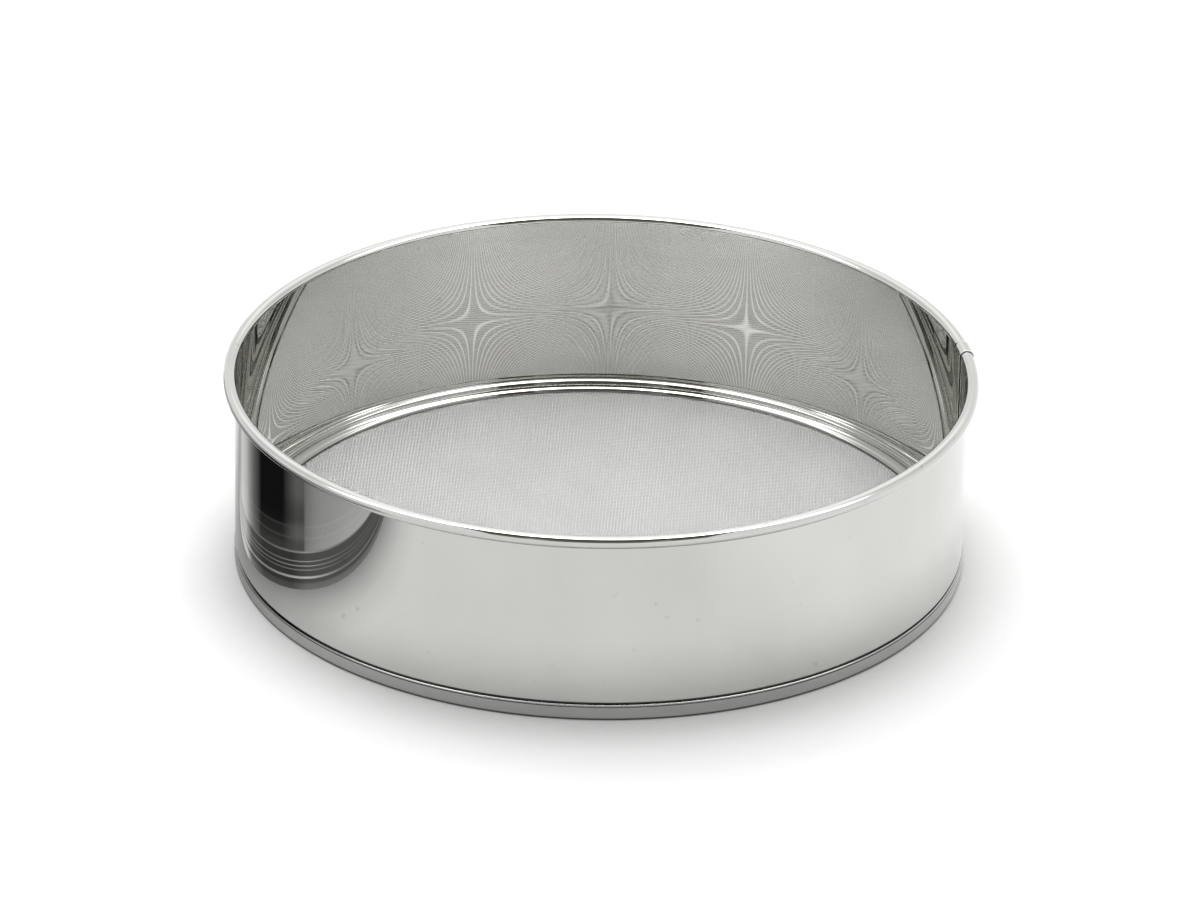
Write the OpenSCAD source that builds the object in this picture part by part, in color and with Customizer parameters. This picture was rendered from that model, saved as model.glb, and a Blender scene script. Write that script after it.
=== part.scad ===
// Tamis drum sieve: a sheet steel drum that holds a flat disc of woven wire cloth near its foot.
// Millimetres, Z up. The origin is on the table, on the drum's axis.

/* [Drum wall] */
// Diameter over the rolled rim
rim_d = 300; // [220:1:360]
// Height from the table to the top of the rolled rim
drum_h = 80.5; // [60:0.5:110]
// Thickness of the wall's sheet
wall_sheet = 0.6; // [0.5:0.05:0.8]
// Height of the slope where the wall is drawn in above the band
step_h = 0.4; // [0.3:0.1:1.5]
// Height of the dark slot between the band and that slope
step_slot = 0.55; // [0.1:0.05:0.7]

/* [Rolled rim] */
// Diameter of the wire inside the rolled rim
rim_wire_d = 3.7; // [2.6:0.1:5]
// Clearance between the wire and the sheet rolled round it
wire_gap = 0.1; // [0.05:0.05:0.3]
// How far the sheet is rolled round the wire, in degrees
curl_turn = 310; // [250:1:312]

/* [Lap seam] */
// Direction of the visible end of the lap, in degrees
seam_angle = 8.5; // [0:0.5:360]
// Length of the lap along the wall
lap_len = 9.5; // [5:0.5:20]
// Thickness that the lap adds
lap_sheet = 0.45; // [0.3:0.05:0.6]
// Height of the bare wall between the retaining ring and the lap
lap_gap = 2; // [1:0.5:10]
// How far the lap follows the roll, in degrees
lap_turn = 235; // [120:5:250]

/* [Sieve cloth] */
// Height of the underside of the cloth above the table
cloth_z = 4.05; // [3.2:0.05:9]
// Thickness of the cloth
cloth_t = 0.5; // [0.3:0.05:0.8]
// Number of gaps across the net
net_gaps = 18; // [9:1:18]
// Width of a bar of the net
bar_w = 4.2; // [0.6:0.1:5]
// Direction of the bars, in degrees
bar_angle = 45; // [0:5:90]

/* [Retaining ring] */
// Thickness of the ring's sheet
ring_sheet = 0.5; // [0.4:0.05:0.8]
// Height of the bead pressed into the ring, above the cloth
bead_h = 1.35; // [1:0.05:2.5]
// Radius of the bead's upper face
bead_r = 3.75; // [3:0.05:5]
// Width of the flat outside the bead
bead_lip = 0.65; // [0.1:0.05:1]
// Width of the flat inside the bead, which holds the cloth down
bore_lip = 1.54; // [1:0.02:6]
// Clearance between the ring and the foot of the wall
ring_gap = 0.15; // [0.05:0.05:0.3]

/* [Base ring] */
// Height of the outer band
band_h = 6.6; // [5.5:0.1:14]
// How far the band stands out past the wall
band_proud = 0.25; // [0:0.05:0.5]
// Thickness of the ring's sheet
base_sheet = 0.6; // [0.5:0.05:0.8]
// Clearance on each side of the wall's foot in its channel
channel_gap = 0.05; // [0.02:0.01:0.1]
// Radius of the outer corners of the foot
foot_r = 0.6; // [0.3:0.05:0.7]
// Radius of the top edge of the band
band_edge_r = 0.2; // [0.1:0.05:0.25]
// Inner radius of the bend under the cloth
flange_bend_r = 0.4; // [0.2:0.05:0.8]
// Width of the flat flange under the cloth
flange_w = 7.65; // [4:0.05:12]

/* [Hidden] */
$fn = 96;
round_fn = 240;
tiny = 0.01;

// Rolled rim, worked inward from the overall diameter
curl_bore_r = rim_wire_d / 2 + wire_gap;
curl_r = curl_bore_r + wall_sheet;
curl_c = rim_d / 2 - curl_r;
curl_z = drum_h - curl_r;

// Wall and base ring, worked inward from the rolled rim
wall_in = curl_c - curl_r;
wall_out = wall_in + wall_sheet;
band_out = wall_out + band_proud;
band_in = band_out - base_sheet;
foot_out = band_in - channel_gap;
foot_in = foot_out - wall_sheet;
upstand_out = foot_in - channel_gap;
upstand_in = upstand_out - base_sheet;
channel_r = (band_in - upstand_out) / 2;
foot_z = base_sheet + channel_r + channel_gap;
step_z = band_h + step_slot;
bend_out_r = flange_bend_r + base_sheet;

// Cloth and its clamp
cloth_r = upstand_out - bend_out_r;
ring_z = cloth_z + cloth_t;
ring_out = foot_in - ring_gap;
bead_half_w = sqrt(pow(bead_r, 2) - pow(bead_r - bead_h, 2));
bead_c = ring_out - bead_lip - bead_half_w;
ring_in = bead_c - bead_half_w - bore_lip;
flange_in = cloth_r - flange_w;
open_r = min(ring_in, flange_in);
net_pitch = 2 * open_r / net_gaps;
gap_w = net_pitch - bar_w;

// Lap
lap_z = ring_z + bead_h + lap_gap;
lap_deg = lap_len / wall_in * 180 / PI;

// Directions in the section of the roll, counted from the outward radius
curl_start = 180;
curl_end = curl_start - curl_turn;
lap_end = curl_start - lap_turn;

// A sector of a ring, from one direction down to another, more than half a turn apart
module roll_section(outer_r, inner_r, from_deg, to_deg) {
    open_mid = (from_deg + to_deg + 360) / 2;
    reach = 3 * outer_r;
    difference() {
        circle(r = outer_r);
        circle(r = inner_r);
        polygon([
            [0, 0],
            reach * [cos(from_deg), sin(from_deg)],
            reach * [cos(open_mid), sin(open_mid)],
            reach * [cos(to_deg), sin(to_deg)]
        ]);
    }
}

// Upright strip between two radii and two heights
module strip(in_r, out_r, low_z, high_z) {
    translate([in_r, low_z])
        square([out_r - in_r, high_z - low_z]);
}

module wall_section() {
    translate([curl_c, curl_z])
        roll_section(curl_r, curl_bore_r, curl_start, curl_end);
    polygon([
        [foot_in, foot_z],
        [foot_out, foot_z],
        [foot_out, step_z],
        [wall_out, step_z + step_h],
        [wall_out, curl_z],
        [wall_in, curl_z],
        [wall_in, step_z + step_h],
        [foot_in, step_z]
    ]);
}

module lap_section() {
    translate([curl_c, curl_z])
        roll_section(curl_r + lap_sheet, curl_r - tiny, curl_start, lap_end);
    strip(wall_in - lap_sheet, wall_in + tiny, lap_z, curl_z);
}

// Wall: strip hoop with its rolled rim, its stepped foot and the lap of its two ends
module drum_wall() {
    color("silver") {
        rotate_extrude($fn = round_fn)
            wall_section();
        rotate([0, 0, seam_angle])
            rotate_extrude(angle = lap_deg, $fn = round_fn)
                lap_section();
    }
}

// Wire hoop inside the rolled rim
module rim_wire() {
    color("gray")
        rotate_extrude($fn = round_fn)
            translate([curl_c, curl_z])
                circle(d = rim_wire_d);
}

// Whether the gap in a column and row opens inside the clamped edge
function nearest(k) = max(0, abs(k) - 0.5) * net_pitch;
function gap_opens(i, j) = norm([nearest(i), nearest(j)]) < open_r - bar_w;

// Cloth as a flat net: a clamped edge and square gaps between the bars
module sieve_cloth() {
    middle = (net_gaps - 1) / 2;
    color("lightgray")
        translate([0, 0, cloth_z])
            linear_extrude(cloth_t)
                difference() {
                    circle(r = cloth_r, $fn = round_fn);
                    intersection() {
                        circle(r = open_r, $fn = round_fn);
                        rotate([0, 0, bar_angle])
                            for (i = [-middle:middle], j = [-middle:middle])
                                if (gap_opens(i, j))
                                    translate(net_pitch * [i, j])
                                        square(gap_w, center = true);
                    }
                }
}

// Bead pressed up out of the ring's sheet, hollow underneath
module bead_section() {
    translate([bead_c, bead_h - bead_r])
        intersection() {
            difference() {
                circle(r = bead_r);
                circle(r = bead_r - ring_sheet);
            }
            translate([-bead_r, bead_r - bead_h])
                square([2 * bead_r, bead_h]);
        }
}

// Flat sheet ring with a pressed bead, which lies on the edge of the cloth
module retaining_ring() {
    edge_r = ring_sheet / 2;
    color("gainsboro")
        rotate_extrude($fn = round_fn)
            translate([0, ring_z]) {
                difference() {
                    strip(ring_in + edge_r, ring_out, 0, ring_sheet);
                    translate([bead_c, bead_h - bead_r])
                        circle(r = bead_r - ring_sheet);
                }
                translate([ring_in + edge_r, edge_r])
                    circle(r = edge_r);
                bead_section();
            }
}

// Channel that the foot of the wall stands in
module channel_section() {
    channel_c = (band_in + upstand_out) / 2;
    translate([channel_c, base_sheet + channel_r])
        circle(r = channel_r);
    strip(upstand_out, band_in, base_sheet + channel_r, 2 * band_h);
}

// Foot and outer band, solid, before the channel is taken out
module band_section() {
    strip(upstand_in, band_out, foot_r, cloth_z - bend_out_r);
    strip(upstand_in + foot_r, band_out - foot_r, 0, foot_r + tiny);
    for (corner = [upstand_in + foot_r, band_out - foot_r])
        translate([corner, foot_r])
            circle(r = foot_r);
    strip(band_in, band_out, foot_r, band_h - band_edge_r);
    strip(band_in + band_edge_r, band_out - band_edge_r, foot_r, band_h);
    for (edge = [band_in + band_edge_r, band_out - band_edge_r])
        translate([edge, band_h - band_edge_r])
            circle(r = band_edge_r);
}

// Bend from the upstand into the flange, and the flange under the cloth
module flange_section() {
    edge_r = base_sheet / 2;
    translate([cloth_r, cloth_z - bend_out_r])
        intersection() {
            difference() {
                circle(r = bend_out_r);
                circle(r = flange_bend_r);
            }
            square(bend_out_r);
        }
    strip(flange_in + edge_r, cloth_r + tiny, cloth_z - base_sheet, cloth_z);
    translate([flange_in + edge_r, cloth_z - edge_r])
        circle(r = edge_r);
}

// Base ring: outer band, foot, upstand and flange, bent from one strip
module base_ring() {
    color("darkgray")
        rotate_extrude($fn = round_fn) {
            difference() {
                band_section();
                channel_section();
            }
            flange_section();
        }
}

drum_wall();
rim_wire();
sieve_cloth();
retaining_ring();
base_ring();
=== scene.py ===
# Tamis drum sieve: polished sheet steel drum, rolled rim, woven wire cloth, retaining ring and base ring.
# Lengths are in millimetres up to the mesh makers, which turn them into the frame's metres.

import math

import bpy
import numpy as np
from mathutils import Matrix, Vector

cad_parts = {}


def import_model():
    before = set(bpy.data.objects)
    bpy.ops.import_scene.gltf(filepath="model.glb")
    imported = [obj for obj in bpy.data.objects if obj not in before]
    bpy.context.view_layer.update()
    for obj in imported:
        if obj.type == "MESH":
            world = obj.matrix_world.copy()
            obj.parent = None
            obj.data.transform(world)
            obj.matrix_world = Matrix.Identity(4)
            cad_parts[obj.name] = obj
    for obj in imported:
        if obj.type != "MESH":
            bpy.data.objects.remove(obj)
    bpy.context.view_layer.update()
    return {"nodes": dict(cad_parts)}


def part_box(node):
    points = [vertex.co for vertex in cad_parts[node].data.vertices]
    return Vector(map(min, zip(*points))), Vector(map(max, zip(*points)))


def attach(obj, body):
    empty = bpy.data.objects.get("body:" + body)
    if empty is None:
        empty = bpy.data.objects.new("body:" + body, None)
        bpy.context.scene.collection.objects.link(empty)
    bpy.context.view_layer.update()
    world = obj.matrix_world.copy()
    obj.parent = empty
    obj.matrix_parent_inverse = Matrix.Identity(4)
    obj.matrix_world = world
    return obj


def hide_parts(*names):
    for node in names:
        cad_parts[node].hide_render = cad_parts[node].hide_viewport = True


MM = 0.001
MIRROR_BOUNCES = 14
MAX_BOUNCES = 16

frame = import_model()

# Camera in the photograph's frame, with its pitch and roll in radians and its clipping in metres
CAMERA_AT = (0, -3220.98, 1627.52)
CAMERA_PITCH = 0.4567
CAMERA_ROLL = 0.0158
LENS = 270
SENSOR_W = 36
CLIP_NEAR = 0.05
CLIP_FAR = 200

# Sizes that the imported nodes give
wire_low, wire_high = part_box("rim_wire")
cloth_low, cloth_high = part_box("sieve_cloth")
ring_low, ring_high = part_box("retaining_ring")
base_low, base_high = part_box("base_ring")
wall_low, wall_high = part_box("drum_wall")
ROLL_Z = (wire_low.z + wire_high.z) / 2 / MM
WIRE_R = (wire_high.z - wire_low.z) / 2 / MM
ROLL_C = wire_high.x / MM - WIRE_R
CLOTH_LOW = cloth_low.z / MM
CLOTH_HIGH = cloth_high.z / MM
CLOTH_R = cloth_high.x / MM
RING_TOP = ring_high.z / MM
RING_OUT = ring_high.x / MM
BAND_TOP = base_high.z / MM
BAND_OUT = base_high.x / MM
FOOT_Z = wall_low.z / MM

# Drum wall: roll, wall, and the step above the band
SHEET = 0.6
WIRE_GAP = 0.1
ROLL_TURN = 310
CHANNEL_GAP = 0.05
STEP_SLOT = 0.55
STEP_H = 0.4
STEP_ROUND = 0.3
STEP_ROUND_IN = 0.8
ROLL_BORE = WIRE_R + WIRE_GAP
ROLL_R = ROLL_BORE + SHEET
WALL_IN = ROLL_C - ROLL_R
WALL_OUT = WALL_IN + SHEET
FOOT_OUT = BAND_OUT - SHEET - CHANNEL_GAP
FOOT_IN = FOOT_OUT - SHEET
STEP_Z = BAND_TOP + STEP_SLOT
STEP_TOP = STEP_Z + STEP_H

# Base ring: bends and flange, and the pressed line below the band's rounded upper edge
FOOT_ROUND = 0.6
BAND_EDGE = 0.2
FLANGE_BEND = 0.4
FLANGE_W = 7.65
HEM_ROUND = 0.35
HEM_H = 0.8
HEM_UPPER = 0.22
HEM_LOWER = 0.42
HEM_DEPTH = 0.13

# Retaining ring
RING_SHEET = 0.5
BEAD_H = 1.35
BEAD_R = 3.75
BEAD_LIP = 0.65
BORE_LIP = 1.54
BEAD_FILLET = 1.85
BEAD_HALF = math.sqrt(BEAD_R ** 2 - (BEAD_R - BEAD_H) ** 2)
BEAD_C = RING_OUT - BEAD_LIP - BEAD_HALF
RING_BORE = BEAD_C - BEAD_HALF - BORE_LIP

# Lap seam: its place, gap, steep edges and ramp are in degrees round the drum
SEAM_AT = 8.5
SEAM_GAP = 0.14
SEAM_STEEP = 0.02
SEAM_CLEAR = 0.3
SEAM_ROUND = 0.16
SEAM_ROUND_DEG = math.degrees(SEAM_ROUND / WALL_IN)
SEAM_ROUND_STEP = 18
SEAM_DEPTH = 0.5
LAP_SHEET = 0.45
LAP_DEG = 3.76
LAP_RAMP = 0.9
LAP_RAMP_COUNT = 24
LAP_LOW = 7.9
LAP_FADE = 1.5
LAP_FADE_STOPS = (0.05, 0.25, 0.5, 0.75, 1)

# Woven cloth
PITCH = 0.907
CRIMP = 0.75
WEAVE_ANGLE = 42.5
WEAVE_BANDS = 4
WEAVE_INSET = 0.15
WEAVE_R = CLOTH_R - WEAVE_INSET

# Mesh fineness: directions round the axis, steps of the arcs in degrees, and the tolerance of the lap's masks
AROUND = 720
ARC_STEP = 5
ROLL_STEP = 6
ROLL_BORE_STEP = 14
BEND_IN_STEP = 8
BEND_OUT_STEP = 10
HEM_STEP = 10
EDGE_STEP = 15
BEAD_STEP = 2
SUPPORT = 0.12
LONG_STRETCH = 4 * SUPPORT
SHARP_ANGLE = 32
NEAR = 0.01


def link(obj):
    """Put a new object in the scene."""
    bpy.context.scene.collection.objects.link(obj)
    return obj


def arc(centre, radius, start, end, step=ARC_STEP):
    """Points along an arc of the section, in degrees, both ends included."""
    count = max(2, math.ceil(abs(end - start) / step) + 1)
    angles = np.radians(np.linspace(start, end, count))
    return [(centre[0] + radius * math.cos(a), centre[1] + radius * math.sin(a)) for a in angles]


def supported(points):
    """The closed section with a support point near both ends of each long straight stretch."""
    out = []
    for here, there in zip(points, points[1:] + points[:1]):
        out.append(here)
        here, there = np.array(here), np.array(there)
        length = np.linalg.norm(there - here)
        if length > LONG_STRETCH:
            along = (there - here) / length * SUPPORT
            out.append(tuple(here + along))
            out.append(tuple(there - along))
    return out


def mesh_object(name, points, quads, sharp=SHARP_ANGLE):
    """Mesh object from points in metres and an array of quads, smooth up to the sharp angle."""
    mesh = bpy.data.meshes.new(name)
    mesh.vertices.add(len(points))
    mesh.vertices.foreach_set("co", np.asarray(points, np.float32).ravel())
    mesh.loops.add(quads.size)
    mesh.loops.foreach_set("vertex_index", quads.ravel().astype(np.int32))
    mesh.polygons.add(len(quads))
    mesh.polygons.foreach_set("loop_start", np.arange(0, quads.size, 4, dtype=np.int32))
    mesh.update(calc_edges=True)
    mesh.validate()
    mesh.polygons.foreach_set("use_smooth", np.ones(len(quads), bool))
    if sharp:
        mesh.set_sharp_from_angle(angle=math.radians(sharp))
    return link(bpy.data.objects.new(name, mesh))


def ring_mesh(name, rows):
    """Closed surface through rows of section points, one row for each direction round the axis."""
    rows = np.asarray(rows, float) * MM
    turns, count = rows.shape[:2]
    index = np.arange(turns * count).reshape(turns, count)
    ahead = np.roll(index, -1, 0)
    quads = np.stack([index, ahead, np.roll(ahead, -1, 1), np.roll(index, -1, 1)], -1).reshape(-1, 4)
    return mesh_object(name, rows.reshape(-1, 3), quads)


def turned(name, section, directions=None, shift=None):
    """Ring turned from a closed section, whose points shift may move for each direction."""
    section = np.array(supported(section))
    if directions is None:
        directions = np.linspace(0, 360, AROUND, endpoint=False)
    rows = []
    for degrees in directions:
        points = section if shift is None else shift(section, degrees)
        a = math.radians(degrees)
        rows.append(np.stack([points[:, 0] * math.cos(a), points[:, 0] * math.sin(a), points[:, 1]], 1))
    return ring_mesh(name, rows)


def smooth(x):
    """Soft step from 0 to 1."""
    x = min(1, max(0, x))
    return x * x * (3 - 2 * x)


def s_bend(low, high, radius, step):
    """Two arcs that carry an upright line outward from low to high, met by their common tangent."""
    turn = math.degrees(math.acos(1 - (high[0] - low[0]) / (2 * radius)))
    rise = 2 * radius * math.sin(math.radians(turn))
    middle = (low[1] + high[1]) / 2
    first = arc((low[0] + radius, middle - rise / 2), radius, 180, 180 - turn, step)
    second = arc((high[0] - radius, middle + rise / 2), radius, -turn, 0, step)
    return first + second[1:]


# Drum wall

def wall_section():
    """Foot, step, wall and roll, up the inner face and back down the outer one."""
    roll = (ROLL_C, ROLL_Z)
    end = 180 - ROLL_TURN
    inner_bend = s_bend((FOOT_IN, STEP_Z), (WALL_IN, STEP_TOP), STEP_ROUND_IN, BEND_IN_STEP)
    outer_bend = s_bend((FOOT_OUT, STEP_Z), (WALL_OUT, STEP_TOP), STEP_ROUND, BEND_OUT_STEP)
    return (
        [(FOOT_IN, FOOT_Z)]
        + inner_bend
        + [(WALL_IN, LAP_LOW + LAP_FADE * part) for part in LAP_FADE_STOPS]
        + arc(roll, ROLL_R, 180, end, ROLL_STEP)
        + arc(roll, ROLL_BORE, end, 180, ROLL_BORE_STEP)
        + outer_bend[::-1]
        + [(FOOT_OUT, FOOT_Z)]
    )


def lap_height(degrees):
    """How far the lap stands out at a direction: a rounded end, a groove beside it and a soft ramp."""
    along = degrees - SEAM_AT
    if along < 0:
        return -LAP_SHEET * SEAM_DEPTH if along > -SEAM_GAP else 0
    if along < SEAM_ROUND_DEG:
        return LAP_SHEET - SEAM_ROUND * (1 - math.sqrt(1 - (1 - along / SEAM_ROUND_DEG) ** 2))
    return LAP_SHEET * smooth((LAP_DEG + LAP_RAMP / 2 - along) / LAP_RAMP)


def lapped(section, degrees):
    """The section with the lap's extra thickness on the inner face and round the roll."""
    height = lap_height(degrees)
    if height == 0:
        return section
    points = section.copy()
    on_wall = (np.abs(points[:, 0] - WALL_IN) < NEAR) & (points[:, 1] < ROLL_Z + NEAR)
    fade = np.clip((points[:, 1] - LAP_LOW) / LAP_FADE, 0, 1)
    points[on_wall, 0] -= height * fade[on_wall]
    out = points - np.array([ROLL_C, ROLL_Z])
    reach = np.linalg.norm(out, axis=1)
    on_roll = (np.abs(reach - ROLL_R) < NEAR) & ~on_wall
    points[on_roll] += height * out[on_roll] / reach[on_roll, None]
    return points


def drum_wall():
    """The wall, with extra directions at the two ends of the lap."""
    even = np.linspace(0, 360, AROUND, endpoint=False)
    groove = SEAM_AT - SEAM_GAP
    quarter = np.radians(range(0, 91, SEAM_ROUND_STEP))
    rounded = [SEAM_AT + SEAM_ROUND_DEG * (1 - math.cos(a)) for a in quarter]
    far_end = SEAM_AT + LAP_DEG
    directions = {d for d in even if abs(d - SEAM_AT) > SEAM_CLEAR}
    directions.update([groove, groove + SEAM_STEEP, SEAM_AT - SEAM_STEEP], rounded)
    directions.update(np.linspace(far_end - LAP_RAMP, far_end + LAP_RAMP, LAP_RAMP_COUNT))
    return turned("polished_drum_wall", wall_section(), sorted(directions), lapped)


# Rings

def retaining_section():
    """Flat ring with a rounded inner edge and the pressed bead, which is hollow underneath."""
    low = CLOTH_HIGH
    lip = low + RING_SHEET
    bead = (BEAD_C, low + BEAD_H - BEAD_R)
    edge = RING_SHEET / 2
    rise = lip - bead[1]
    side = math.sqrt((BEAD_R + BEAD_FILLET) ** 2 - (rise + BEAD_FILLET) ** 2)
    tilt = math.degrees(math.atan2(rise + BEAD_FILLET, side))
    under_r = BEAD_R - RING_SHEET
    under = math.degrees(math.asin((low - bead[1]) / under_r))
    return (
        arc((RING_BORE + edge, low + edge), edge, 270, 90, EDGE_STEP)
        + arc((bead[0] - side, lip + BEAD_FILLET), BEAD_FILLET, 270, 360 - tilt)
        + arc(bead, BEAD_R, 180 - tilt, tilt, BEAD_STEP)[1:-1]
        + arc((bead[0] + side, lip + BEAD_FILLET), BEAD_FILLET, 180 + tilt, 270)
        + [(RING_OUT, lip), (RING_OUT, low)]
        + arc(bead, under_r, under, 180 - under)
    )


def base_section():
    """Band, channel, upstand and flange as one bent strip, with the pressed line in the band."""
    channel_r = (SHEET + 2 * CHANNEL_GAP) / 2
    band_in = BAND_OUT - SHEET
    up_out = band_in - 2 * channel_r
    up_in = up_out - SHEET
    bend = (up_out - FLANGE_BEND - SHEET, CLOTH_LOW - FLANGE_BEND - SHEET)
    flange_in = bend[0] - FLANGE_W
    edge = SHEET / 2
    groove = BAND_TOP - HEM_H
    return (
        arc((BAND_OUT - HEM_ROUND, BAND_TOP - HEM_ROUND), HEM_ROUND, 0, 90, HEM_STEP)
        + arc((band_in + BAND_EDGE, BAND_TOP - BAND_EDGE), BAND_EDGE, 90, 180, EDGE_STEP)
        + arc((band_in - channel_r, SHEET + channel_r), channel_r, 360, 180, EDGE_STEP)
        + arc(bend, FLANGE_BEND + SHEET, 0, 90)
        + arc((flange_in + edge, CLOTH_LOW - edge), edge, 90, 270, EDGE_STEP)
        + arc(bend, FLANGE_BEND, 90, 0)
        + arc((up_in + FOOT_ROUND, FOOT_ROUND), FOOT_ROUND, 180, 270)
        + arc((BAND_OUT - FOOT_ROUND, FOOT_ROUND), FOOT_ROUND, 270, 360)
        + [(BAND_OUT, groove - HEM_LOWER), (BAND_OUT - HEM_DEPTH, groove), (BAND_OUT, groove + HEM_UPPER)]
    )


# Woven cloth

def weave_band(name, across, band):
    """One band of a family of wires, each going over and under the wires that cross it."""
    wire_r = (CLOTH_HIGH - CLOTH_LOW) / 4
    middle = (CLOTH_HIGH + CLOTH_LOW) / 2
    reach = int(WEAVE_R / PITCH)
    steps = np.arange(-reach, reach + 1)
    lines = np.array_split(steps, WEAVE_BANDS)[band]
    i, k = np.meshgrid(lines, steps, indexing="ij")
    inside = np.hypot(i, k) * PITCH < WEAVE_R

    # Centre of the wire at each crossing
    family = -1 if across else 1
    turn = math.radians(WEAVE_ANGLE + (90 if across else 0))
    along = np.array([math.cos(turn), math.sin(turn), 0])
    side = np.array([-math.sin(turn), math.cos(turn), 0])
    line_of, step_of = i[inside], k[inside]
    over = np.where((line_of + step_of) % 2 == 0, -family, family)
    centre = step_of[:, None] * PITCH * along + family * line_of[:, None] * PITCH * side
    centre[:, 2] = middle + over * wire_r * CRIMP

    # Four corners round each centre, joined to the next crossing of the same wire
    ways = np.array([side, [0, 0, 1], -side, [0, 0, -1]]) * wire_r
    points = (centre[:, None] + ways[None]).reshape(-1, 3) * MM
    number = np.full(i.shape, -1)
    number[inside] = np.arange(inside.sum())
    pair = inside[:, :-1] & inside[:, 1:]
    here, there = 4 * number[:, :-1][pair], 4 * number[:, 1:][pair]
    quads = []
    for corner in range(4):
        beside = (corner + 1) % 4
        quads.append(np.stack([here + corner, here + beside, there + beside, there + corner], 1))

    # Closed ends
    first = number[:, 1:][inside[:, 1:] & ~inside[:, :-1]]
    last = number[:, :-1][inside[:, :-1] & ~inside[:, 1:]]
    first = np.concatenate([first, number[:, 0][inside[:, 0]]])
    last = np.concatenate([last, number[:, -1][inside[:, -1]]])
    corners = np.arange(4)
    quads.append(4 * first[:, None] + corners[::-1])
    quads.append(4 * last[:, None] + corners)
    return mesh_object(name, points, np.concatenate(quads), sharp=0)


# Materials

class Nodes:
    """Short way to write the node tree of a new material or world."""

    def __init__(self, owner, output="ShaderNodeOutputMaterial"):
        self.owner = owner
        owner.use_nodes = True
        self.tree = owner.node_tree
        self.tree.nodes.clear()
        self.out = self.add(output)

    def add(self, kind, inputs=(), **settings):
        """New node, whose inputs are numbers, colours or the sockets that feed them."""
        node = self.tree.nodes.new(kind)
        for key, value in settings.items():
            setattr(node, key, value)
        for key, value in dict(inputs).items():
            if isinstance(value, bpy.types.NodeSocket):
                self.tree.links.new(value, node.inputs[key])
            else:
                node.inputs[key].default_value = value
        return node

    def math(self, operation, *values):
        """Result of a math operation on sockets or numbers."""
        return self.add("ShaderNodeMath", enumerate(values), operation=operation).outputs[0]

    def times(self, *values):
        """Product of two or more numbers."""
        product = values[0]
        for value in values[1:]:
            product = self.math("MULTIPLY", product, value)
        return product

    def noise(self, vector, scale, detail, roughness=0.5):
        return self.add(
            "ShaderNodeTexNoise",
            {"Vector": vector, "Scale": scale, "Detail": detail, "Roughness": roughness},
        ).outputs["Fac"]

    def spread(self, value, low, high, to_low, to_high):
        """Number moved from one range to another, and held at that one's ends."""
        return self.add(
            "ShaderNodeMapRange",
            {"Value": value, "From Min": low, "From Max": high, "To Min": to_low, "To Max": to_high},
        ).outputs[0]

    def rise(self, value, start, end):
        """0 up to start, 1 from end."""
        return self.spread(value, start, end, 0, 1)

    def fall(self, value, start, end):
        """1 up to start, 0 from end."""
        return self.spread(value, start, end, 1, 0)

    def between(self, value, low, high):
        """1 between low and high, 0 elsewhere."""
        return self.times(self.math("GREATER_THAN", value, low), self.math("LESS_THAN", value, high))

    def mix(self, factor, a, b):
        """Colour between a and b."""
        return self.add("ShaderNodeMix", {0: factor, 6: a, 7: b}, data_type="RGBA").outputs[2]

    def blend(self, factor, a, b):
        """Number between a and b."""
        return self.add("ShaderNodeMix", {0: factor, 2: a, 3: b}, data_type="FLOAT").outputs[0]

    def grey(self, level):
        return self.add("ShaderNodeCombineColor", {"Red": level, "Green": level, "Blue": level}).outputs[0]

    def ramp(self, value, stops):
        """Number read off a list of (place, level) stops."""
        first, last = stops[0][0], stops[-1][0]
        most = max(1, max(level for _, level in stops))
        node = self.add("ShaderNodeValToRGB", {"Fac": self.rise(value, first, last)})
        elements = node.color_ramp.elements
        elements.remove(elements[1])
        for place, level in stops:
            at = (place - first) / (last - first)
            element = elements[0] if place == first else elements.new(at)
            element.position = at
            element.color = (level / most, level / most, level / most, 1)
        return self.times(node.outputs[0], most)

    def place(self, kind="Object"):
        return self.add("ShaderNodeTexCoord").outputs[kind]

    def split(self, vector):
        return self.add("ShaderNodeSeparateXYZ", {"Vector": vector}).outputs

    def length(self, a, b):
        """Length of the vector with these two parts."""
        return self.math("SQRT", self.math("ADD", self.times(a, a), self.times(b, b)))

    def degrees(self, up, along):
        """Direction of the vector with these two parts."""
        return self.math("DEGREES", self.math("ARCTAN2", up, along))

    def millimetres(self, value):
        return self.math("DIVIDE", value, MM)

    def round_axis(self, around, up):
        """Position as (arc length, height, radius) about the drum's axis, stretched by around and up."""
        x, y, z = self.split(self.place())
        angle = self.math("ARCTAN2", y, x)
        joined = self.add(
            "ShaderNodeCombineXYZ",
            {"X": self.times(angle, around), "Y": self.times(z, up), "Z": self.length(x, y)},
        )
        return joined.outputs[0]

    def finish(self, shader):
        self.tree.links.new(shader.outputs[0], self.out.inputs["Surface"])
        return self.owner


# Painted shade on the steel, in the slot and creases, at the foot, the bore edge, the seam and under the
# cloth: stops are (height, share of the steel's colour that stays unshaded)
SHADE_COLOUR = (0.05, 0.046, 0.036)
# Painted shade in the slot between the band's top and the wall's step
GROOVE_SHADE = [(BAND_TOP - 1.2, 0), (STEP_Z + 0.35, 0), (STEP_TOP + 0.15, 0.3), (STEP_TOP + 0.4, 1)]
# Painted shade at the band's foot, where it meets the floor
FOOT_SHADE = [(0, 0.04), (0.65, 0.10), (1.25, 1)]
FOOT_SHADE_IN = BAND_OUT - 1.5
# Painted shade in the pressed line below the band's upper edge
HEM_SHADE = [(BAND_TOP - 1.25, 1), (BAND_TOP - 1.1, 0.1), (BAND_TOP - 0.72, 0.1), (BAND_TOP - 0.58, 1)]
HEM_SHADE_IN = BAND_OUT - 0.3
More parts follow.
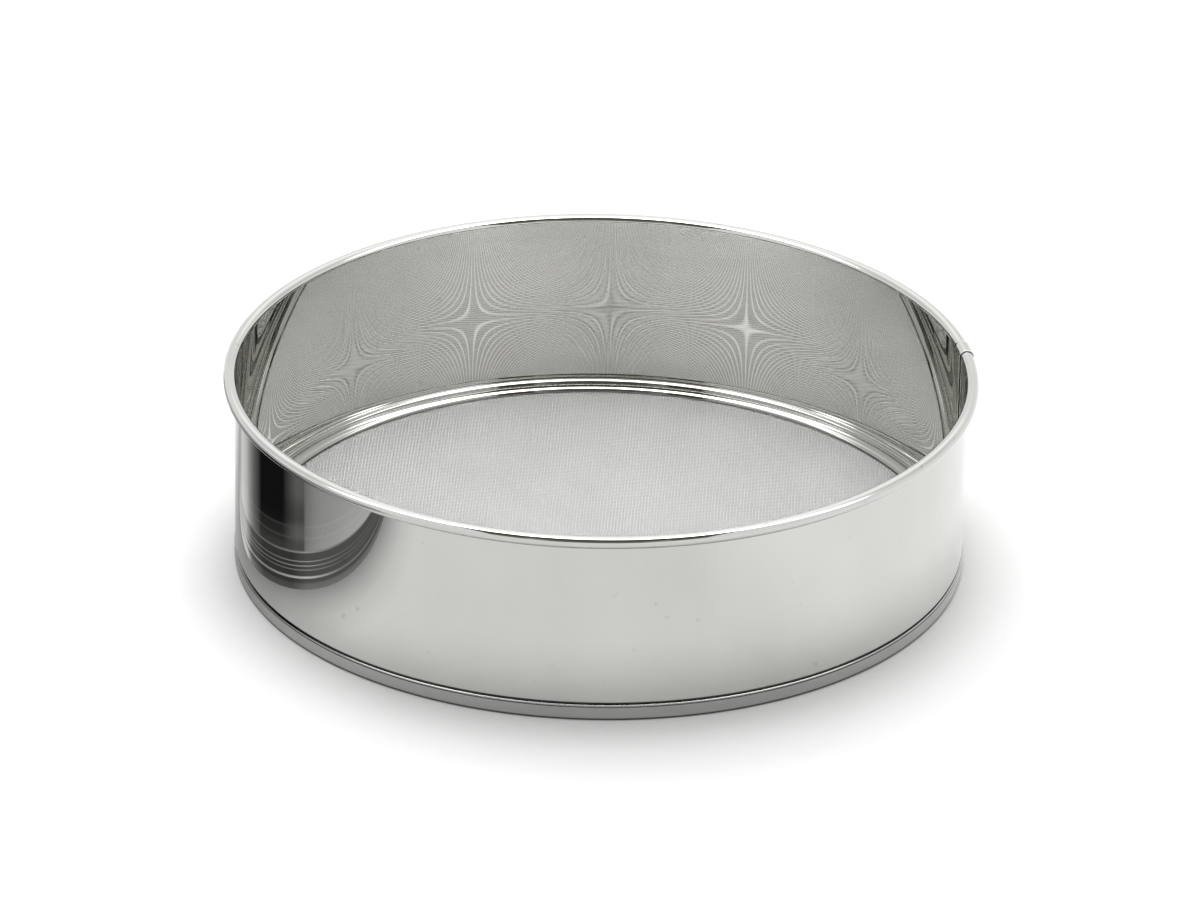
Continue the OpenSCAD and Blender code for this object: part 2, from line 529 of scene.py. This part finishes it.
# Painted shade at the retaining ring's bore edge, over the cloth
BORE_SHADE = [(0, 0.12), (RING_TOP, 0.12)]
BORE_SHADE_OUT = RING_BORE + 0.7
# Painted shade on the flange under the cloth
FLANGE_SHADE = [(CLOTH_LOW - 0.25, 1), (CLOTH_LOW - 0.1, 0.35), (CLOTH_LOW + 0.1, 0.35)]
# Painted shade and dirt in the gap at the lap's end
SEAM_SHADE = (SEAM_AT - SEAM_GAP - 0.002, SEAM_AT - 0.002)
FAR_OUT = 1000

# Finish of the steel: noises are (scale, detail, roughness), ranges are the parts of a noise that show
ROUND_R = 0.14
MARK_STRETCH = (60, 5200, 1)
MARKS = (1.0, 3.0)
BROAD = (26.0, 3.0)
CLOUD = (9.0, 4.0, 0.6)
ZONE = (24.0, 2.0)
ZONE_UP = 0.12
SPOTS = (190.0, 1.0)
PATCH_RANGE = (0.5, 0.72)
GLOSS_RANGE = (0.3, 0.7)
TONE_RANGE = (0.25, 0.75)
ZONE_RANGE = (0.3, 0.7)
SPOT_RANGE = (0.73, 0.80)


def steel(
    name, colour, rough, uneven=0.01, streak=0.00002, smudge=0.0, tint=0.04, speck=0.0, shade_bands=(), seam=None,
):
    """Polished steel: faint round marks from polishing, uneven gloss, smudges and a slight change of tone.

    Each band of painted shade is a list of stops with the two radii between which it darkens the steel. The
    seam is the pair of directions between which the roll and the inner face are darkened with painted shade
    and dirt of the lap's gap.
    """
    n = Nodes(bpy.data.materials.new(name))
    place = n.place()
    x, y, z = n.split(place)
    radius = n.length(x, y)

    broad = n.noise(place, *BROAD)
    patch = n.rise(n.noise(place, *CLOUD), *PATCH_RANGE)
    gloss = n.spread(broad, *GLOSS_RANGE, rough - uneven / 2, rough + uneven / 2)
    gloss = n.math("ADD", gloss, n.times(patch, smudge))

    zone = n.noise(n.round_axis(ROUND_R, ZONE_UP), *ZONE)
    tone = n.times(n.spread(broad, *TONE_RANGE, 1 - tint, 1.0), n.spread(zone, *ZONE_RANGE, 1 - tint, 1.0))
    tone = n.math("SUBTRACT", tone, n.spread(n.noise(place, *SPOTS), *SPOT_RANGE, 0.0, speck))
    shade = n.mix(tone, (0.0, 0.0, 0.0, 1), (*colour, 1))

    # Painted shade in the slot, creases, at the foot, at the bore edge and under the cloth
    for stops, inner, outer in shade_bands:
        inside = n.between(radius, inner * MM, outer * MM)
        unshaded = n.blend(inside, 1.0, n.ramp(n.millimetres(z), stops))
        shade = n.mix(unshaded, (*SHADE_COLOUR, 1), shade)
    # Painted shade and dirt in the gap at the lap's end
    if seam:
        on_roll = n.math("GREATER_THAN", z, (ROLL_Z - ROLL_R) * MM)
        on_inner_face = n.math("LESS_THAN", radius, (WALL_IN + WALL_OUT) / 2 * MM)
        inside = n.times(n.between(n.degrees(y, x), *seam), n.math("MAXIMUM", on_roll, on_inner_face))
        shade = n.mix(inside, shade, (*SHADE_COLOUR, 1))

    around = n.round_axis(ROUND_R, 1.0)
    stretched = n.add("ShaderNodeVectorMath", {0: around, 1: MARK_STRETCH}, operation="MULTIPLY")
    marks = n.noise(stretched.outputs[0], *MARKS)
    bump = n.add("ShaderNodeBump", {"Height": marks, "Distance": streak * MM, "Strength": 1.0})
    shader = n.add(
        "ShaderNodeBsdfPrincipled",
        {"Metallic": 1.0, "Base Color": shade, "Roughness": gloss, "Normal": bump.outputs[0]},
    )
    return n.finish(shader)


# Floor: half its side and the far lift's reach in metres, its tones, with a painted shadow under the drum,
# and the light added where it is seen
FLOOR_HALF = 60.0
FLOOR_TONE = 0.85
UNDER_DRUM_SHADE = 0.16
# Painted shadow and light: the camera's lift is lower near the drum, and the steel's lift is higher to the
# right
SEEN_LIFT = [(0, 0.07), (148, 0.08), (158, 0.145), (172, 0.20), (1000, 0.21)]
MIRROR_LIFT = [(-1000, 0.08), (0, 0.07), (95, 0.07), (155, 0.168), (200, 0.216), (300, 0.18), (1000, 0.16)]
FAR_FROM = 1.2
FAR_TO = 5.0
FAR_LIFT = 0.4

# Soft lamp above and behind: place in metres, size and the share of the floor's light that it gives
LAMP_AT = (-0.3, 1.3, 3.95)
LAMP_SIZE = (2.6, 2.6)
LAMP_SHARE = 0.48

# Studio round the drum as polished steel sees it: angles run over the top from the back horizon, in degrees,
# and a side is the tangent of the angle to the left or right of the middle
SKY_LEVEL = 0.57
AROUND_LEVEL = 1.0
SOFT_HALF = 1
CEILING_FROM = 25
CEILING_SOFT = 6
CEILING_LEVELS = [(25, 1.35), (72, 1.4), (83, 2.2), (88, 8.5), (105, 8.5)]
CEILING_SIDE = (1.6, 2.0)
SIDE_DIM = (0.35, 0.85)
SIDE_LEVEL = 0.6
DARK_FROM = 105
DARK_TO = 145
DARK_SIDE = (0.56, 0.59)
DARK_LEVEL = (0.105, 0.100, 0.072)
LEG_TO = 156
LEG_SIDE = (0.34, 0.36)
FRONT_TO = 168
FRONT_SOFT = 4
FRONT_LEVELS = [(0, 0.17), (0.2, 0.17), (0.3, 0.45), (0.5, 0.8), (0.7, AROUND_LEVEL)]

# Dark round card at the left, which glows only for the steel: its levels paint the mirror image of a dark
# neighbour, with painted highlights as light lines near its foot; levels over its height in millimetres or
# round it in degrees
CARD_AT = (-345, -26)
CARD_R = 188
CARD_H = 62
CARD_TURNS = 128
CARD_SHADE = [(0, 0.40), (10, 0.60), (25, 0.85), (45, 1)]
CARD_EDGE = 17.0
CARD_EDGE_SOFT = 0.5
CARD_FOOT = [(0, 0.24), (2.4, 0.20), (3.4, 0.11), (CARD_EDGE, 0.11)]
CARD_FOOT_ROUND = [(-60, 1), (-16, 1), (-12, 0.45), (-4, 0.45), (1, 1.2), (5, 5.2), (40, 5.2)]
CARD_FOOT_MOST = 0.75
CARD_LINES = [
    (0, 0), (4.7, 0), (5.1, 0.95), (5.6, 0.95), (6.1, 0), (8.3, 0), (8.7, 0.45), (9.1, 0), (10.1, 0),
    (10.5, 0.66), (10.9, 0), (12.1, 0), (12.5, 0.60), (12.9, 0), (16.0, 0), (16.5, 0.55), (CARD_EDGE, 0.4),
]
CARD_LINES_ROUND = [
    (-60, 0.10), (-26, 0.15), (-20, 0.42), (-16, 0.64), (-12, 0.50), (-6, 0.28), (0, 0.30), (4, 0.6),
]
CARD_ROUND = [
    (-60, 0.60), (-36, 0.52), (-28, 0.47), (-20, 0.37), (-18, 0.32), (-15.6, 0.22), (-15.1, 0.0), (-3, 0.0),
    (-2, 0.06), (0, 0.16), (2, 0.36), (4, 0.62), (8, 0.78), (12, 0.50), (16, 0.40), (40, 0.50),
]
CARD_CORE = [
    (0, 0.06), (19, 0.055), (21.8, 0.035), (22.6, 0.075), (23.4, 0.03), (27, 0.025), (27.7, 0.055),
    (28.4, 0.012), (34, 0.008), (CARD_H, 0.008),
]
CARD_MIDDLE = [
    (0, 0.12), (20, 0.10), (23.5, 0.15), (27, 0.14), (31, 0.085), (36, 0.095), (42, 0.14), (CARD_H, 0.15),
]
CARD_MIDDLE_FROM = -15.4
CARD_MIDDLE_FROM_SOFT = 0.3
CARD_MIDDLE_TO = -11.4
CARD_MIDDLE_TO_SOFT = 1.8


def floor():
    """White floor that keeps the drum's shadow, with a painted shadow under the drum, lifted a little where
    the camera or the steel sees it.
    """
    h = FLOOR_HALF
    mesh = bpy.data.meshes.new("floor")
    mesh.from_pydata([(-h, -h, 0), (h, -h, 0), (h, h, 0), (-h, h, 0)], [], [(0, 1, 2, 3)])
    obj = link(bpy.data.objects.new("floor", mesh))
    n = Nodes(bpy.data.materials.new("floor_white"))
    place = n.place()
    reach = n.add("ShaderNodeVectorMath", {0: place}, operation="LENGTH").outputs[1]
    clear = n.rise(n.millimetres(reach), CLOTH_R, BAND_OUT)
    path = n.add("ShaderNodeLightPath").outputs

    # Shade at the foot of the card, which only the steel sees
    card_foot = (CARD_AT[0] * MM, CARD_AT[1] * MM, 0)
    from_card = n.add("ShaderNodeVectorMath", {0: place, 1: card_foot}, operation="DISTANCE").outputs[1]
    near_card = n.ramp(n.math("SUBTRACT", n.millimetres(from_card), CARD_R), CARD_SHADE)
    near_card = n.blend(path["Is Glossy Ray"], 1.0, near_card)
    # Painted shadow: the floor is darker under the drum
    tone = n.times(n.spread(clear, 0, 1, UNDER_DRUM_SHADE, FLOOR_TONE), near_card)
    diffuse = n.add("ShaderNodeBsdfDiffuse", {"Color": n.grey(tone)})

    # Lift by distance for the camera, lower near the drum as painted shadow, and by the distance to the right
    # for the steel, higher to the right as painted light
    mirrored = n.math("MAXIMUM", path["Is Glossy Ray"], path["Is Transmission Ray"])
    seen = n.times(n.math("MAXIMUM", path["Is Camera Ray"], mirrored), clear, near_card)
    mirror_lift = n.ramp(n.millimetres(n.split(place)[0]), MIRROR_LIFT)
    seen_lift = n.ramp(n.millimetres(reach), SEEN_LIFT)
    level = n.blend(path["Is Camera Ray"], mirror_lift, seen_lift)
    level = n.math("ADD", level, n.spread(reach, FAR_FROM, FAR_TO, 0, FAR_LIFT))
    lift = n.add("ShaderNodeEmission", {"Strength": n.times(seen, level)})
    both = n.add("ShaderNodeAddShader", {0: diffuse.outputs[0], 1: lift.outputs[0]})
    obj.data.materials.append(n.finish(both))


def only_mirrored(obj):
    """Make a card that only the steel sees: it lights and shades nothing, and the camera doesn't see it."""
    obj.visible_camera = False
    obj.visible_diffuse = False
    obj.visible_shadow = False
    obj.visible_transmission = False
    obj.visible_volume_scatter = False


def left_card():
    """Dark round card, glowing only for the steel, whose mirror image darkens the drum's left side, with
    painted highlights as light lines near its foot.
    """
    a = np.radians(np.linspace(0, 360, CARD_TURNS, endpoint=False))
    x, y = CARD_AT[0] + CARD_R * np.cos(a), CARD_AT[1] + CARD_R * np.sin(a)
    rows = [np.stack([x, y, np.full(CARD_TURNS, z)], 1) for z in (0, CARD_H)]
    low = np.arange(CARD_TURNS)
    ahead = (low + 1) % CARD_TURNS
    quads = np.stack([low, ahead, CARD_TURNS + ahead, CARD_TURNS + low], 1)
    obj = mesh_object("left_card", np.concatenate(rows) * MM, quads)

    n = Nodes(bpy.data.materials.new("left_card"))
    x, y, z = n.split(n.place())
    turn = n.degrees(n.math("SUBTRACT", y, CARD_AT[1] * MM), n.math("SUBTRACT", x, CARD_AT[0] * MM))
    height = n.millimetres(z)
    foot = n.times(n.ramp(height, CARD_FOOT), n.ramp(turn, CARD_FOOT_ROUND))
    lines = n.times(n.ramp(height, CARD_LINES), n.ramp(turn, CARD_LINES_ROUND))
    lower = n.math("MINIMUM", n.math("ADD", foot, lines), CARD_FOOT_MOST)
    middle = n.times(
        n.rise(turn, CARD_MIDDLE_FROM - CARD_MIDDLE_FROM_SOFT, CARD_MIDDLE_FROM + CARD_MIDDLE_FROM_SOFT),
        n.fall(turn, CARD_MIDDLE_TO - CARD_MIDDLE_TO_SOFT, CARD_MIDDLE_TO + CARD_MIDDLE_TO_SOFT),
    )
    streaks = n.blend(middle, n.ramp(height, CARD_CORE), n.ramp(height, CARD_MIDDLE))
    upper = n.math("ADD", n.ramp(turn, CARD_ROUND), streaks)
    above = n.rise(height, CARD_EDGE - CARD_EDGE_SOFT, CARD_EDGE + CARD_EDGE_SOFT)
    level = n.blend(above, lower, upper)
    obj.data.materials.append(n.finish(n.add("ShaderNodeEmission", {"Strength": level})))
    only_mirrored(obj)


def world():
    """White studio; polished steel also sees its ceiling panel and the dark gap above the camera."""
    bpy.context.scene.world = bpy.data.worlds.new("studio")
    n = Nodes(bpy.context.scene.world, "ShaderNodeOutputWorld")
    x, y, z = n.split(n.place("Generated"))
    over = n.degrees(z, y)
    side = n.math("DIVIDE", n.math("ABSOLUTE", x), n.length(y, z))
    past_ceiling = n.rise(over, DARK_FROM - SOFT_HALF, DARK_FROM + SOFT_HALF)
    before_dark = n.fall(over, DARK_FROM - SOFT_HALF, DARK_FROM + SOFT_HALF)
    past_dark = n.rise(over, DARK_TO - SOFT_HALF, DARK_TO + SOFT_HALF)
    before_front = n.fall(over, DARK_TO - SOFT_HALF, DARK_TO + SOFT_HALF)
    before_leg_end = n.fall(over, LEG_TO - SOFT_HALF, LEG_TO + SOFT_HALF)

    # Ceiling panel, dimmer toward its sides
    past_back = n.rise(over, CEILING_FROM, CEILING_FROM + CEILING_SOFT)
    ceiling = n.times(past_back, before_dark, n.fall(side, *CEILING_SIDE))
    ceiling_level = n.times(n.ramp(over, CEILING_LEVELS), n.spread(side, *SIDE_DIM, 1, SIDE_LEVEL))

    # Studio in front, darker in the middle
    front = n.times(past_dark, n.fall(over, FRONT_TO - FRONT_SOFT, FRONT_TO))
    around_level = n.blend(front, AROUND_LEVEL, n.ramp(side, FRONT_LEVELS))
    light = n.grey(n.blend(ceiling, around_level, ceiling_level))

    # Dark gap, which has a leg at each side
    leg = n.times(past_dark, before_leg_end, n.rise(side, *LEG_SIDE))
    gap = n.times(past_ceiling, before_front)
    dark = n.times(n.math("MAXIMUM", gap, leg), n.fall(side, *DARK_SIDE))
    mirrored = n.mix(dark, light, (*DARK_LEVEL, 1))

    path = n.add("ShaderNodeLightPath").outputs
    even = n.mix(path["Is Camera Ray"], (SKY_LEVEL, SKY_LEVEL, SKY_LEVEL, 1), (1, 1, 1, 1))
    tone = n.mix(path["Is Glossy Ray"], even, mirrored)
    n.finish(n.add("ShaderNodeBackground", {"Color": tone}))


def lamp():
    """Soft lamp of a set share of the floor's light; the steel sees the ceiling panel instead of it."""
    data = bpy.data.lights.new("lamp", "AREA")
    data.shape = "RECTANGLE"
    data.size, data.size_y = LAMP_SIZE
    at = Vector(LAMP_AT)
    cosine = at.z / at.length
    data.energy = LAMP_SHARE * (math.pi * at.length) ** 2 / (cosine * FLOOR_TONE)
    obj = link(bpy.data.objects.new("lamp", data))
    obj.location = at
    obj.rotation_euler = at.to_track_quat("Z", "Y").to_euler()
    obj.visible_glossy = False
    obj.visible_camera = False


def camera():
    """Camera at the photograph's viewing angle."""
    data = bpy.data.cameras.new("camera")
    data.sensor_fit = "HORIZONTAL"
    data.sensor_width = SENSOR_W
    data.lens = LENS
    data.clip_start = CLIP_NEAR
    data.clip_end = CLIP_FAR
    obj = link(bpy.data.objects.new("camera", data))
    forward = Vector((0, math.cos(CAMERA_PITCH), -math.sin(CAMERA_PITCH)))
    level = Vector((1, 0, 0))
    up = Vector((0, math.sin(CAMERA_PITCH), math.cos(CAMERA_PITCH)))
    right = math.cos(CAMERA_ROLL) * level + math.sin(CAMERA_ROLL) * up
    top = -math.sin(CAMERA_ROLL) * level + math.cos(CAMERA_ROLL) * up
    turn = Matrix((right, top, -forward)).transposed().to_4x4()
    obj.matrix_world = Matrix.Translation(Vector(CAMERA_AT) * MM) @ turn
    bpy.context.scene.camera = obj


# Assembly

def dress(obj, material, slot, *nodes):
    """Give a piece its material, and let it replace its CAD node. The slot is not used."""
    obj.data.materials.clear()
    obj.data.materials.append(material)
    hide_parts(*nodes)
    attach(obj, "root")


bpy.context.scene.view_settings.view_transform = "Standard"
bpy.context.scene.cycles.glossy_bounces = MIRROR_BOUNCES
bpy.context.scene.cycles.max_bounces = MAX_BOUNCES
camera()
world()
floor()
left_card()
lamp()

wall_steel = steel(
    "wall_steel", (0.655, 0.655, 0.63), 0.01,
    uneven=0.004, streak=0.00001, smudge=0.008, tint=0.05, speck=0.12,
    # Painted shade in the slot above the band
    shade_bands=[(GROOVE_SHADE, (FOOT_IN + FOOT_OUT) / 2, FAR_OUT)],
    # Painted shade and dirt in the lap's gap on the roll and the inner face
    seam=SEAM_SHADE,
)
# The ring's bore edge carries painted shade
ring_steel = steel("ring_steel", (0.64, 0.64, 0.62), 0.05, shade_bands=[(BORE_SHADE, 0, BORE_SHADE_OUT)])
base_steel = steel(
    "base_steel", (0.50, 0.50, 0.485), 0.10,
    # Painted shade at the foot, in the pressed line and on the flange under the cloth
    shade_bands=[(FOOT_SHADE, FOOT_SHADE_IN, FAR_OUT), (HEM_SHADE, HEM_SHADE_IN, FAR_OUT), (FLANGE_SHADE, 0, CLOTH_R)],
)
wire_steel = steel("wire_steel", (0.94, 0.94, 0.925), 0.62, streak=0.0)
hoop_steel = steel("hoop_steel", (0.50, 0.50, 0.48), 0.30)

dress(drum_wall(), wall_steel, "polished_sheet", "drum_wall")
dress(turned("pressed_retaining_ring", retaining_section()), ring_steel, "ring_steel", "retaining_ring")
dress(turned("rolled_base_ring", base_section()), base_steel, "base_steel", "base_ring")
for part in range(WEAVE_BANDS):
    dress(weave_band(f"warp_wires_{part + 1}", False, part), wire_steel, "wire_cloth", "sieve_cloth")
    dress(weave_band(f"weft_wires_{part + 1}", True, part), wire_steel, "wire_cloth", "sieve_cloth")
hoop = frame["nodes"]["rim_wire"]
hoop.data.materials.clear()
hoop.data.materials.append(hoop_steel)
